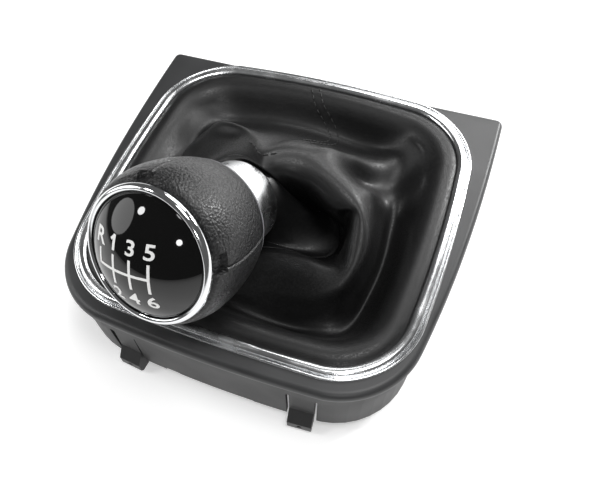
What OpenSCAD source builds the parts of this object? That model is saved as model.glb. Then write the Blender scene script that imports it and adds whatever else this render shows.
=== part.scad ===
// Gear-shift knob with a leather gaiter and its console bezel.
// Origin: centre of the bezel in the plane of its underside.
// +X right, +Y towards the straight far edge (front of the vehicle), +Z up.
// All lengths are in millimetres and all angles in degrees.

/* [Bezel] */
// Width of the bezel at its straight far edge
bezel_w = 150; // [145:1:155]
// Width of the bezel between its near corners, before rounding
bezel_near_w = 127.2; // [124:0.1:130]
// Distance from the origin to the far edge
bezel_far_y = 68.8; // [66:0.1:71]
// Distance from the origin to the near corners, before rounding
bezel_near_y = 63.6; // [62:0.1:66]
// Outward bow of the near edge
bezel_near_bow = 5.2; // [3:0.1:7]
// Outward bow of each side edge
bezel_side_bow = 2.9; // [1:0.1:4]
// Radius of the two near corners
bezel_near_r = 31; // [25:1:34]
// Thickness of the bezel plate
bezel_t = 3; // [2.5:0.1:4]
// Radius of the rounded top edge
bezel_edge_r = 2.2; // [1:0.1:2.4]

/* [Chrome ring] */
// Width of the opening inside the ring at its far corners, before rounding
open_w = 123; // [118:0.5:126]
// Width of the opening at its near corners, before rounding
open_near_w = 118; // [112:0.5:120]
// Distance from the origin to the far corners of the opening
open_far_y = 56.6; // [55:0.1:58]
// Distance from the origin to the near corners of the opening
open_near_y = 54.5; // [53:0.1:56]
// Visible width of the chrome ring
ring_w = 5; // [4:0.1:5.4]
// Height of the chrome ring above the bezel
ring_h = 1.6; // [1.2:0.1:2]

/* [Skirt and clips] */
// Depth of the skirt below the bezel
skirt_d = 29; // [25:1:32]
// Depth of the skirt along the far wall
skirt_far_d = 21; // [16:1:22]
// Wall thickness of the skirt
skirt_t = 2; // [1.6:0.1:2.2]
// How far the skirt stands in from the edge of the bezel
ledge_w = 1.5; // [1:0.1:1.6]
// Distance of each snap clip from the centre line
clip_x = 34.5; // [32:0.5:37]
// Width of each snap clip
clip_w = 9; // [7:0.5:10]
// Depth of the lowest point of the snap clips
clip_d = 34; // [32:1:38]

/* [Knob] */
// Outer diameter of the chrome ring round the lens
knob_d = 44; // [43:0.5:45]
// Greatest radius of the grip
grip_r = 25.2; // [24.5:0.1:25.6]
// Distance from the face to the widest place of the grip
grip_wide_s = 12.1; // [10:0.1:14]
// Radius of the grip where it ends
grip_end_r = 21.3; // [20.5:0.1:21.6]
// Distance from the face to the end of the grip
grip_end_s = 34.3; // [33:0.1:35]
// Height of the domed lens above the face
dome_h = 8.5; // [6:0.5:9]
// Outer radius of the chrome collar
collar_r = 15.7; // [15:0.1:16]
// Distance from the face to the end of the collar
collar_end_s = 56.1; // [54:0.1:57]
// Diameter of the gear lever that the knob fits
lever_d = 12; // [10:0.5:12]

/* [Rest pose] */
// Tilt of the knob from upright as it lies back on the gaiter
knob_lie = 58.3; // [57:0.1:59]
// Turn of the lying knob about the vertical
knob_yaw = -8.4; // [-9:0.1:-8]
// Turn of the knob about its own axis
knob_spin = 12; // [0:1:15]

/* [Hidden] */
$fn = 64;
eps = 0.01;

// Bezel and opening, beyond the driving sizes
bezel_far_r = 3;
open_far_bow = 7.7;
open_near_bow = 4;
open_side_bow = 1.9;
open_far_r = 28.7;
open_near_r = 26.4;
ring_z = bezel_t;

// Chrome ring posts and their washers
post_r = 0.9;
post_out = 2;
post_end_z = -2.2;
washer_r = 1.4;
washer_t = 0.5;

// Gaiter retainer and staples
retainer_out = 0.4;
retainer_in = 5.5;
hem_t = 1.2;
retainer_t = 2.4;
staple_count = 28;
staple_w = 8;
staple_t = 0.6;
staple_in = 2.4;

// Snap clips and skirt
rib_count = 5;
clip_root_t = 1.2;
clip_lug = 4;
clip_hole_r = 0.9;
slot_gap = 1;

// Knob, measured along its axis from the face, positive towards the lever
knob_centre = [-15.85, -57.43, 40.58];
shell_t = 2.4;
panel_gap = 0.5;
trim_in_r = 19.7;
dome_r = trim_in_r - 0.05;
lever_r = lever_d / 2;
bush_t = 1.5;
bush_start_s = 14;
bush_end_s = 52;
core_tail_r = 9;
core_tail_s = 50.5;
clamp_s = 44.5;
clamp_w = 5;
clamp_t = 0.8;
collar_t = 1.2;
collar_start_s = 36.3;
sleeve_t = 1.4;
sleeve_r = 12.6;
neck_t = 1.0;
neck_start_s = 50;
neck_ring_s = 53;
neck_flare_s = 66;
neck_flare_r = 22;
neck_gap = 0.4;

// Soft leather
leather_t = 1.2;
roll_h = 2.6;
roll_in = 8;
valley_in = 14;
valley_z = -1.5;
loft_steps = 10;
leather_n = 6;

// ---- Outlines ----

function unit(v) = v / norm(v);

// Arc of radius r that rounds the corner c between the directions u and v
function fillet(c, u, v, r, n) =
    let (a = unit(u), b = unit(v), half = acos(a * b) / 2, m = unit(a + b),
         o = c + m * (r / sin(half)), p = c + a * (r / tan(half)) - o,
         q = c + b * (r / tan(half)) - o, a0 = atan2(p[1], p[0]),
         turn = atan2(p[0] * q[1] - p[1] * q[0], p * q))
    [for (i = [0:n]) o + r * [cos(a0 + turn * i / n), sin(a0 + turn * i / n)]];

// Smooth curve from p to q that leaves and arrives along the unit directions u and v
function bridge(p, u, q, v, n) =
    let (d = norm(q - p))
    [for (i = [1:n - 1]) let (t = i / n)
        (2 * t ^ 3 - 3 * t ^ 2 + 1) * p + (t ^ 3 - 2 * t ^ 2 + t) * d * u
        + (3 * t ^ 2 - 2 * t ^ 3) * q + (t ^ 3 - t ^ 2) * d * v];

// Right half of a rounded outline, from the far middle to the near middle.
// far and near are [corner y, half width, outward bow, corner radius].
function half_outline(far, near, side_bow, n) =
    let (c1 = [far[1], far[0]], c0 = [near[1], near[0]], len = far[0] - near[0],
         dw = near[1] - far[1],
         d1 = unit([dw + 4 * side_bow, -len]), d0 = unit([dw - 4 * side_bow, -len]),
         f1 = fillet(c1, [-1, 2 * far[2] / far[1]], d1, far[3], n),
         f0 = fillet(c0, -d0, [-1, -2 * near[2] / near[1]], near[3], n),
         a = f1[0], b = f0[n], top = far[0] + far[2], low = near[0] - near[2])
    concat(
        [for (i = [0:n - 1]) let (x = a[0] * i / n) [x, top - (top - a[1]) * (x / a[0]) ^ 2]],
        f1,
        bridge(f1[n], d1, f0[0], d0, n),
        f0,
        [for (i = [n - 1:-1:0]) let (x = b[0] * i / n) [x, low + (b[1] - low) * (x / b[0]) ^ 2]]);

// Whole outline, clockwise from the far middle
function outline(far, near, side_bow, n = 8) =
    let (h = half_outline(far, near, side_bow, n))
    concat(h, [for (i = [len(h) - 2:-1:1]) [-h[i][0], h[i][1]]]);

// Edge of the bezel, moved inwards by d
function bezel_edge(d = 0, n = 8) = outline(
    [bezel_far_y - d, bezel_w / 2 - d, 0, max(bezel_far_r - d, 0.8)],
    [-bezel_near_y + d, bezel_near_w / 2 - d, bezel_near_bow, bezel_near_r - d],
    bezel_side_bow, n);

// Edge of the opening inside the chrome ring, moved outwards by d
function opening_edge(d = 0, n = 8) = outline(
    [open_far_y + d, open_w / 2 + d, open_far_bow, open_far_r + d],
    [-open_near_y - 0.9 * d, open_near_w / 2 + d, open_near_bow, open_near_r + d],
    open_side_bow, n);

// Solid ring through a closed list of equal loops of 3-D points
module loop_solid(loops) {
    rows = len(loops);
    cols = len(loops[0]);
    polyhedron([for (l = loops) each l], [
        for (r = [0:rows - 1], c = [0:cols - 1])
            let (r2 = (r + 1) % rows, c2 = (c + 1) % cols)
            each [[r * cols + c, r2 * cols + c, r2 * cols + c2],
                  [r * cols + c, r2 * cols + c2, r * cols + c2]]]);
}

function at_z(points, z) = [for (p = points) [p[0], p[1], z]];

// Places of n things spread evenly by count along a loop
function spread(points, n, first = 0) =
    [for (i = [0:n - 1]) let (k = round(first + i * len(points) / n) % len(points),
        a = points[k], b = points[(k + 1) % len(points)])
        [a[0], a[1], atan2(b[1] - a[1], b[0] - a[0])]];

// Places of the ring's posts, clear of the far wall of the skirt
post_places = [for (k = [9, 17, 24, 31, 37], side = [-1, 1]) let (p = opening_edge(post_out)[k])
    [side * p[0], p[1]]];

// ---- Bezel, ring and skirt ----

module bezel() {
    color("#3a3b3d") difference() {
        loop_solid([
            at_z(opening_edge(0), bezel_t),
            for (i = [0:3]) let (a = 90 - 30 * i)
                at_z(bezel_edge(bezel_edge_r * (1 - cos(a))), bezel_t - bezel_edge_r * (1 - sin(a))),
            at_z(bezel_edge(0), 0),
            at_z(opening_edge(0), 0)]);
        for (p = post_places)
            translate([p[0], p[1], -1]) cylinder(r = post_r + 0.1, h = bezel_t + 2, $fn = 24);
    }
}

// Bead inside, shallow groove and thin lip outside, as [distance outwards, height]
ring_section = [[0, 0], [0, 0.5], [0.4, 0.8], [1.3, 1], [2.4, 0.92], [3.2, 0.55],
    [3.6, 0.3], [3.9, 0.3], [4.3, 0.5], [4.7, 0.42], [5, 0]];

module chrome_ring() {
    color("#d9dadd") union() {
        loop_solid([for (p = ring_section)
            at_z(opening_edge(p[0] * ring_w / 5), ring_z + p[1] * ring_h)]);
        for (p = post_places)
            translate([p[0], p[1], post_end_z])
                cylinder(r = post_r, h = ring_z - post_end_z + 0.3, $fn = 24);
    }
}

module ring_washers() {
    color("#8b8d90") for (p = post_places)
        translate([p[0], p[1], -washer_t]) difference() {
            cylinder(r = washer_r, h = washer_t, $fn = 24);
            translate([0, 0, -1]) cylinder(r = post_r, h = washer_t + 2, $fn = 24);
        }
}

// Thing placed at each snap clip, turned so that its own -Y points outwards
module at_clips() {
    near_y = bezel_near_y + bezel_near_bow - ledge_w;
    drop = bezel_near_bow * (clip_x * 2 / bezel_near_w) ^ 2;
    slope = atan(2 * drop / clip_x);
    for (side = [-1, 1]) {
        translate([side * clip_x, -near_y + drop, 0]) rotate([0, 0, side * slope]) children();
        translate([side * clip_x, bezel_far_y - ledge_w, 0]) rotate([0, 0, 180]) children();
    }
}

module skirt_frame() {
    step_z = 7;
    color("#2c2d2f") difference() {
        union() {
            difference() {
                translate([0, 0, -skirt_d]) linear_extrude(skirt_d)
                    polygon(bezel_edge(ledge_w));
                translate([0, 0, -skirt_d - 1]) linear_extrude(skirt_d + 2)
                    polygon(bezel_edge(ledge_w + skirt_t));
            }
            // second step round the top of the wall
            difference() {
                translate([0, 0, -step_z]) linear_extrude(step_z)
                    polygon(bezel_edge(ledge_w - 0.6));
                translate([0, 0, -step_z - 1]) linear_extrude(step_z + 2)
                    polygon(bezel_edge(ledge_w + 1));
            }
            // upright ribs inside the side walls
            for (side = [-1, 1], i = [0:rib_count - 1])
                intersection() {
                    translate([side * (bezel_w / 2 - 8), -32 + i * 18, -skirt_d + 6])
                        translate([-8, -0.8, 0]) cube([16, 1.6, skirt_d - 10]);
                    translate([0, 0, -skirt_d]) linear_extrude(skirt_d) difference() {
                        polygon(bezel_edge(ledge_w + 0.5));
                        polygon(bezel_edge(ledge_w + skirt_t + 2.5));
                    }
                }
        }
        // shallower far wall
        translate([-bezel_w / 2, bezel_far_y - 14, -skirt_d - 1])
            cube([bezel_w, 20, skirt_d - skirt_far_d + 1]);
        // windows that the clips stand in
        at_clips() translate([-clip_w / 2 - slot_gap, -3, -skirt_d - 1])
            cube([clip_w + 2 * slot_gap, 8, skirt_d - 8]);
        // lifted stretch of the near wall between the clips
        translate([-20, -bezel_near_y - 10, -skirt_d - 1]) cube([6, 14, 2.2]);
        translate([-14, -bezel_near_y - 10, -skirt_d - 1]) cube([30, 14, 1.6]);
    }
}

// Snap tongue with an outward lug; its own -Y points outwards
module snap_clips() {
    color("#1d1e20") at_clips() difference() {
        rotate([90, 0, -90]) translate([0, 0, -clip_w / 2]) linear_extrude(clip_w) polygon([
            [-skirt_t - clip_root_t, 0], [-skirt_t - clip_root_t, -skirt_d + 5],
            [-0.8, -clip_d], [clip_lug - 1, -clip_d], [clip_lug, -clip_d + 1.6],
            [clip_lug, -skirt_d + 1], [0.2, -skirt_d + 6], [-0.2, -9.5],
            [-skirt_t + 0.1, -8.5], [-skirt_t + 0.1, 0]]);
        translate([0, 0, -skirt_d - 1]) rotate([90, 0, 0])
            translate([0, 0, -10]) cylinder(r = clip_hole_r, h = 30, $fn = 24);
    }
}

// Ring under the bezel that traps the hem of the leather
module gaiter_retainer() {
    color("#232426") union() {
        translate([0, 0, -hem_t - retainer_t]) linear_extrude(retainer_t) difference() {
            polygon(opening_edge(retainer_out));
            polygon(opening_edge(-retainer_in));
        }
        translate([0, 0, -hem_t - retainer_t - 5]) linear_extrude(5 + eps) difference() {
            polygon(opening_edge(-1));
            polygon(opening_edge(-2.8));
        }
    }
}

module hem_staples() {
    z = -hem_t - retainer_t - staple_t;
    color("#9a9c9f") for (p = spread(opening_edge(-retainer_in + staple_in - 0.8), staple_count))
        translate([p[0], p[1], z]) rotate([0, 0, p[2]]) {
            translate([-staple_w / 2, -staple_t / 2, 0]) cube([staple_w, staple_t, staple_t]);
            for (x = [-staple_w / 2, staple_w / 2 - staple_t])
                translate([x, -staple_t / 2, 0])
                    cube([staple_t, staple_t, staple_t + retainer_t + 0.8]);
        }
}

// ---- Leather ----

// Point at distance s behind the face, r from the axis, at angle a round it
tilt_c = cos(knob_lie);
tilt_s = sin(knob_lie);
function knob_point(s, r, a) =
    let (x = r * cos(a), y = r * sin(a) * tilt_c + s * tilt_s,
         z = r * sin(a) * tilt_s - s * tilt_c)
    knob_centre + [x * cos(knob_yaw) - y * sin(knob_yaw), x * sin(knob_yaw) + y * cos(knob_yaw), z];

function ease(t) = t * t * (3 - 2 * t);
function mix(a, b, t) = a + (b - a) * t;

// Middle of the leather at step u, 0 at the valley and 1 at the neck, for one rim point
function slope_point(rim, u) =
    let (a = atan2(rim[1], rim[0]),
         neck = knob_point(neck_flare_s + neck_gap, neck_flare_r, a),
         start = [rim[0], rim[1], valley_z], far_side = max(0, sin(a)),
         lift = 9 * far_side * sin(180 * u) ^ 2, flat = mix(start, neck, u))
    [flat[0], flat[1], mix(start[2], neck[2], ease(u)) + lift];

// Loops of the leather surface: hem, roll, valley, then the slope up to the neck
function leather_loops(t) = concat(
    [at_z(opening_edge(0.2, leather_n), -t)],
    [at_z(opening_edge(-1.6, leather_n), -t)],
    [at_z(opening_edge(-2.2 - hem_t / 2 + t, leather_n), 0.6)],
    [at_z(opening_edge(-3.6, leather_n), roll_h - t)],
    [at_z(opening_edge(-5.6, leather_n), roll_h + 0.5 - t)],
    [at_z(opening_edge(-roll_in, leather_n), roll_h - 0.4 - t)],
    [at_z(opening_edge(-valley_in + 2, leather_n), valley_z + 1.4 - t)],
    [for (i = [0:loft_steps]) let (u = i / loft_steps)
        [for (p = opening_edge(-valley_in, leather_n)) slope_point(p, u) - [0, 0, t]]]);

module gaiter() {
    outer = leather_loops(0);
    inner = leather_loops(leather_t);
    color("#1b1b1c")
        loop_solid(concat(outer, [for (i = [len(inner) - 1:-1:0]) inner[i]]));
}

// Places its children at the knob, with +Z out of the face
module on_knob() {
    translate(knob_centre) rotate([0, 0, knob_yaw]) rotate([knob_lie, 0, 0])
        rotate([0, 0, knob_spin]) children();
}

// Solid of revolution about the knob's axis from [radius, distance behind the face] points
module turned(points, angle = 360) {
    rotate_extrude(angle = angle) polygon([for (p = points) [p[0], -p[1]]]);
}

// Tube about the knob's axis
module knob_tube(r_out, r_in, s0, s1) {
    turned([[r_in, s0], [r_out, s0], [r_out, s1], [r_in, s1]]);
}

module gaiter_neck() {
    r0 = sleeve_r + 0.05;
    n = 6;
    flare = [for (i = [0:n]) let (t = i / n)
        [r0 + (neck_flare_r - neck_t - r0) * ease(t), mix(collar_end_s + 1, neck_flare_s, t)]];
    color("#1b1b1c") on_knob() turned(concat(
        [[r0, neck_start_s]], flare,
        [for (i = [n:-1:0]) flare[i] + [neck_t, 0]], [[r0 + neck_t, neck_start_s]]));
}

module gaiter_clamp_ring() {
    r = sleeve_r + 0.05 + neck_t;
    color("#9fa1a4") on_knob() knob_tube(r + 0.75, r, neck_ring_s - 0.8, neck_ring_s + 0.8);
}

// ---- Knob ----

// Radius of the grip at distance s behind the face
function grip_radius(s) = s < grip_wide_s
    ? grip_r - (grip_r - knob_d / 2) * ((grip_wide_s - s) / grip_wide_s) ^ 2
    : grip_r - (grip_r - grip_end_r) * ((s - grip_wide_s) / (grip_end_s - grip_wide_s)) ^ 2;

grip_start_s = 2.4;
grip_stop_s = grip_end_s - 1.4;
function grip_line(d, n = 14) = [for (i = [0:n])
    let (s = mix(grip_start_s, grip_stop_s, i / n)) [grip_radius(s) - d, s]];

module collar_sleeve() {
    color("#2a2b2d") on_knob() union() {
        knob_tube(sleeve_r, sleeve_r - sleeve_t, 40, collar_end_s - 0.5);
        knob_tube(collar_r - collar_t - 0.05, sleeve_r - sleeve_t, 38.4, 40.2);
    }
}

module collar() {
    lip = 0.8;
    color("#d9dadd") on_knob() turned([
        [collar_r - collar_t, collar_start_s], [collar_r - 0.3, collar_start_s],
        [collar_r, collar_start_s + 0.6], [collar_r, collar_end_s - lip],
        [collar_r - 0.35, collar_end_s], [collar_r - collar_t, collar_end_s]]);
}

module lever_bush() {
    color("#c9c6bd") on_knob()
        knob_tube(lever_r + bush_t, lever_r, bush_start_s, bush_end_s);
}

module lever_clamp() {
    r = core_tail_r + 0.02;
    ear_h = 1;
    color("#a9abad") on_knob() union() {
        knob_tube(r + clamp_t, r, clamp_s, clamp_s + clamp_w);
        for (side = [-1, 1])
            translate([side * 1.6 - 0.4, r + clamp_t / 2, -clamp_s - clamp_w])
                cube([0.8, ear_h, clamp_w]);
        translate([-2, r + clamp_t / 2 + ear_h - eps, -clamp_s - clamp_w])
            cube([4, 0.5, clamp_w]);
    }
}

// Moulded middle of the knob with a slotted tail that the clamp squeezes
module knob_core() {
    r = lever_r + bush_t;
    color("#252628") on_knob() difference() {
        turned(concat(
            [[0, grip_start_s], [18, grip_start_s]],
            [for (p = grip_line(shell_t)) if (p[1] > grip_start_s + 2) p],
            [[core_tail_r + 1.5, grip_stop_s], [core_tail_r, grip_stop_s + 2],
             [core_tail_r, core_tail_s], [0, core_tail_s]]));
        translate([0, 0, -core_tail_s - 1])
            cylinder(r = r, h = core_tail_s + 1 - bush_start_s, $fn = 64);
        for (a = [45, 135])
            rotate([0, 0, a]) translate([-0.6, -12, -core_tail_s - 1]) cube([1.2, 24, 11]);
    }
}

module base_cover() {
    color("#1f2022") on_knob() turned([
        [core_tail_r + 1.6, grip_stop_s + 0.1], [grip_end_r - 1.6, grip_stop_s + 0.1],
        [grip_end_r - 1.6, grip_end_s - 0.1], [grip_end_r - 3, grip_end_s + 1],
        [collar_r + 0.4, collar_start_s + 0.6], [collar_r + 0.2, collar_start_s - 0.1],
        [core_tail_r + 1.6, collar_start_s - 0.1]]);
}

module base_ring() {
    color("#6d6e70") on_knob() turned([
        [grip_end_r - 1.55, grip_stop_s + 0.1], [grip_end_r + 0.1, grip_stop_s + 0.1],
        [grip_end_r + 0.15, grip_end_s - 0.7], [grip_end_r - 0.4, grip_end_s],
        [grip_end_r - 1.55, grip_end_s]]);
}

// One quarter of the grip's cover; number is 1 to 4
module grip_panel(number) {
    half_gap = asin(panel_gap / 2 / grip_r);
    line = grip_line(0);
    inside = grip_line(shell_t - 0.02);
    color("#161617") on_knob() rotate([0, 0, 90 * (number - 1) + half_gap])
        turned(concat(line, [for (i = [len(inside) - 1:-1:0]) inside[i]]), 90 - 2 * half_gap);
}

module trim_ring() {
    r = knob_d / 2;
    color("#d9dadd") on_knob() turned([
        [trim_in_r, 1.9], [trim_in_r, -0.1], [trim_in_r + 0.5, -0.7], [trim_in_r + 1.2, -0.8],
        [r - 0.4, -0.2], [r, 0.6], [r, 1.8], [r - 0.5, grip_start_s - 0.1],
        [trim_in_r + 0.8, grip_start_s - 0.1]]);
}

module cap_carrier() {
    color("#252628") on_knob() turned([[0, 0.9], [trim_in_r - 0.1, 0.9],
        [trim_in_r - 0.1, 1.9], [17.5, 1.9], [17.5, grip_start_s - 0.05], [0, grip_start_s - 0.05]]);
}

// Ball that the face of the lens is cut from
ball_r = (dome_r ^ 2 + dome_h ^ 2) / (2 * dome_h);
module dome_ball() {
    translate([0, 0, dome_h - ball_r]) sphere(r = ball_r, $fn = 72);
}

module cap_lens() {
    color("#060606") on_knob() union() {
        intersection() {
            dome_ball();
            cylinder(r = dome_r + 5, h = 20);
        }
        translate([0, 0, -0.85]) cylinder(r = dome_r, h = 0.85 + eps);
    }
}

// ---- Shift pattern ----

pattern_pitch = 6;
pattern_h = 8.7;
pattern_turn = -3.6;
pattern_shift = [-2.3, -2.2];
mark_off = 3.9;
digit_w = 2.8;
digit_h = 4.5;
stroke_w = 0.72;
relief = 0.15;

module bar(a, b, w = stroke_w) {
    d = b - a;
    translate(a) rotate([0, 0, atan2(d[1], d[0])]) translate([0, -w / 2])
        square([norm(d), w]);
    for (p = [a, b]) translate(p) circle(d = w, $fn = 16);
}

// Part of a round stroke about c, from angle a0 to a1
module arc(c, r, a0, a1) {
    w = stroke_w / 2;
    n = 12;
    translate(c) polygon(concat(
        [for (i = [0:n]) let (a = a0 + (a1 - a0) * i / n) (r + w) * [cos(a), sin(a)]],
        [for (i = [n:-1:0]) let (a = a0 + (a1 - a0) * i / n) (r - w) * [cos(a), sin(a)]]));
}

// Gear mark with its middle at the origin; k is 0 for R and 1 to 6 for the gears
module gear_mark(k) {
    x = digit_w / 2;
    y = digit_h / 2;
    bowl = y / 2 + 0.1;
    if (k == 0) {
        bar([-x, -y], [-x, y]);
        bar([-x, y], [x - bowl, y]);
        bar([-x, y - 2 * bowl], [x - bowl, y - 2 * bowl]);
        arc([x - bowl, y - bowl], bowl, -90, 90);
        bar([x - bowl - 0.3, y - 2 * bowl], [x, -y]);
    }
    if (k == 1) {
        bar([0.3, -y], [0.3, y]);
        bar([0.3, y], [-x * 0.6, y - 1.1]);
    }
    if (k == 2) {
        arc([0, y - x], x, -35, 165);
        bar([x * cos(35), y - x - x * sin(35)], [-x, -y]);
        bar([-x, -y], [x, -y]);
    }
    if (k == 3) {
        arc([0, y - bowl], bowl, -90, 160);
        arc([0, -y + bowl], bowl, -160, 90);
    }
    if (k == 4) {
        bar([x * 0.5, -y], [x * 0.5, y]);
        bar([x * 0.5, y], [-x, -y * 0.35]);
        bar([-x, -y * 0.35], [x * 1.1, -y * 0.35]);
    }
    if (k == 5) {
        bar([x * 0.8, y], [-x * 0.8, y]);
        bar([-x * 0.8, y], [-x * 0.9, 0.2]);
        arc([0, -y + x], x, -160, 135);
    }
    if (k == 6) {
        arc([0, -y + x], x, 30, 330);
        arc([0, -y + x], x, -40, 40);
        bar([-x, -y + x], [x * 0.4, y]);
    }
}

module pattern_shape() {
    top = pattern_h / 2;
    left = -1.5 * pattern_pitch;
    bar([left, top], [left, 0]);
    bar([left, 0], [left + 3 * pattern_pitch, 0]);
    for (i = [1:3]) bar([left + i * pattern_pitch, top], [left + i * pattern_pitch, -top]);
    for (i = [0:3]) translate([left + i * pattern_pitch, top + mark_off])
        gear_mark([0, 1, 3, 5][i]);
    for (i = [1:3]) translate([left + i * pattern_pitch, -top - mark_off]) gear_mark(2 * i);
}

module shift_pattern() {
    n = 10;
    arc_end = asin(dome_r / ball_r);
    shell = [for (i = [0:n]) let (a = arc_end * i / n) [sin(a), cos(a)]];
    color("#e8e8e8") on_knob() intersection() {
        linear_extrude(20) rotate(pattern_turn) translate(pattern_shift) pattern_shape();
        translate([0, 0, dome_h - ball_r]) rotate_extrude() polygon(concat(
            [for (p = shell) (ball_r + relief) * p],
            [for (i = [n:-1:0]) (ball_r - 0.2) * shell[i]]));
    }
}

bezel();
chrome_ring();
ring_washers();
skirt_frame();
snap_clips();
gaiter_retainer();
hem_staples();
gaiter();
gaiter_neck();
gaiter_clamp_ring();
collar_sleeve();
collar();
lever_bush();
lever_clamp();
knob_core();
base_cover();
base_ring();
for (i = [1:4]) grip_panel(i);
trim_ring();
cap_carrier();
cap_lens();
shift_pattern();
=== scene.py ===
"""Gear shift knob with a leather gaiter and its console bezel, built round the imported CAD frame."""
import math

import bmesh
import bpy
import numpy as np
from mathutils import Matrix, Vector


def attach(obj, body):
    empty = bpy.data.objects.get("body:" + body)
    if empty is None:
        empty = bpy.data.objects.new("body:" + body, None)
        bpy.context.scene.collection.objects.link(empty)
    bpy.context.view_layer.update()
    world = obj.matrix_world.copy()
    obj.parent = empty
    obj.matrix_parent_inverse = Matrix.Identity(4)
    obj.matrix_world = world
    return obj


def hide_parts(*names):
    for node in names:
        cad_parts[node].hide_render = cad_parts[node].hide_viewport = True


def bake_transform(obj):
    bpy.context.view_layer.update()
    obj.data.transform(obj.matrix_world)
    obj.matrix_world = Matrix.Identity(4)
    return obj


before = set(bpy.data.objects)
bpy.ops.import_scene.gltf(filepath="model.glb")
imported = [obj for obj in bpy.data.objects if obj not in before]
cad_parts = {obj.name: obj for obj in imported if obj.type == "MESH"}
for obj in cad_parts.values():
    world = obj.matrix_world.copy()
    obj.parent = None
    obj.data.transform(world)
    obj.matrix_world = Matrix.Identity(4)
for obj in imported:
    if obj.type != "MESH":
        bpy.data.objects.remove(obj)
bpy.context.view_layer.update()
MM = 0.001

# ---- Driving sizes in millimetres, as in the CAD model ----
BEZEL = {"w": 75.0, "near_w": 63.6, "far_y": 68.8, "near_y": 63.6, "near_bow": 5.2,
         "side_bow": 2.9, "near_r": 31.0, "far_r": 3.0, "t": 3.0, "edge_r": 2.4}
OPENING = {"w": 61.5, "near_w": 59.0, "far_y": 56.6, "near_y": 54.5, "far_bow": 7.7,
           "near_bow": 4.0, "side_bow": 1.9, "far_r": 28.7, "near_r": 26.4}
RING_W = 5.0
RING_H = 1.6
FLOOR_Z = -34.0
KNOB_CENTRE = np.array([-15.85, -57.43, 40.58])
KNOB_LIE, KNOB_YAW, KNOB_SPIN = 58.3, -8.4, 12.0
KNOB_R = 22.0
GRIP_R, GRIP_WIDE_S, GRIP_END_R, GRIP_END_S = 25.2, 12.1, 21.3, 34.3
COLLAR_R, COLLAR_START_S, COLLAR_END_S = 15.7, 36.3, 56.1
TRIM_IN_R = 19.7
DOME_H = 8.5


# ---- Camera ----
def add_camera():
    """Camera at the photograph's viewing angle, looking down at the knob from the near side."""
    data = bpy.data.cameras.new("camera")
    data.sensor_width = 36
    data.lens = 34.78
    data.shift_x = 0.073
    data.shift_y = 0.0091
    data.clip_start = 0.01
    camera = bpy.data.objects.new("camera", data)
    bpy.context.scene.collection.objects.link(camera)
    right = Vector((0.9256, 0.3709, -0.0751))
    forward = Vector((-0.2563, 0.4678, -0.8458)).normalized()
    right = (right - right.dot(forward) * forward).normalized()
    up = right.cross(forward)
    turn = Matrix((right, up, -forward)).transposed()
    camera.matrix_world = Matrix.Translation(Vector((55.32, -123.31, 178.36)) * MM) @ turn.to_4x4()
    bpy.context.scene.camera = camera


# ---- Outlines ----
def unit(v):
    return v / np.linalg.norm(v)


def fillet(c, u, v, r, n):
    """Arc of radius r that rounds corner c between the directions u and v."""
    a, b = unit(u), unit(v)
    half = math.acos(a @ b) / 2
    o = c + unit(a + b) * r / math.sin(half)
    p, q = c + a * r / math.tan(half) - o, c + b * r / math.tan(half) - o
    start, turn = math.atan2(p[1], p[0]), math.atan2(p[0] * q[1] - p[1] * q[0], p @ q)
    angles = start + turn * np.linspace(0, 1, n + 1)
    return o + r * np.column_stack([np.cos(angles), np.sin(angles)])


def bridge(p, u, q, v, n):
    """Smooth curve from p to q along the unit directions u and v, without its ends."""
    t = np.linspace(0, 1, n + 1)[1:-1, None]
    d = np.linalg.norm(q - p)
    return ((2 * t**3 - 3 * t**2 + 1) * p + (t**3 - 2 * t**2 + t) * d * u
            + (3 * t**2 - 2 * t**3) * q + (t**3 - t**2) * d * v)


def outline(far, near, side_bow, n):
    """Rounded outline, clockwise from the far middle; far and near are (y, half width, bow, radius)."""
    c1, c0 = np.array([far[1], far[0]]), np.array([near[1], near[0]])
    length, dw = far[0] - near[0], near[1] - far[1]
    d1, d0 = unit(np.array([dw + 4 * side_bow, -length])), unit(np.array([dw - 4 * side_bow, -length]))
    f1 = fillet(c1, np.array([-1, 2 * far[2] / far[1]]), d1, far[3], n)
    f0 = fillet(c0, -d0, np.array([-1, -2 * near[2] / near[1]]), near[3], n)
    top, low = far[0] + far[2], near[0] - near[2]
    x = f1[0][0] * np.arange(n) / n
    far_edge = np.column_stack([x, top - (top - f1[0][1]) * (x / f1[0][0]) ** 2])
    x = f0[-1][0] * np.arange(n - 1, -1, -1) / n
    near_edge = np.column_stack([x, low + (f0[-1][1] - low) * (x / f0[-1][0]) ** 2])
    h = np.concatenate([far_edge, f1, bridge(f1[-1], d1, f0[0], d0, 2 * n), f0, near_edge])
    return np.concatenate([h, h[-2:0:-1] * [-1, 1]])


def bezel_edge(d=0.0, n=20):
    """Edge of the bezel, moved inwards by d."""
    b = BEZEL
    return outline((b["far_y"] - d, b["w"] - d, 0, max(b["far_r"] - d, 0.8)),
                   (-b["near_y"] + d, b["near_w"] - d, b["near_bow"], b["near_r"] - d),
                   b["side_bow"], n)


def opening_edge(d=0.0, n=20):
    """Edge of the opening inside the chrome ring, moved outwards by d."""
    o = OPENING
    return outline((o["far_y"] + d, o["w"] + d, o["far_bow"], o["far_r"] + d),
                   (-o["near_y"] - 0.9 * d, o["near_w"] + d, o["near_bow"], o["near_r"] + d),
                   o["side_bow"], n)


def at_z(points, z):
    return np.column_stack([points, np.full(len(points), z)])


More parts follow.
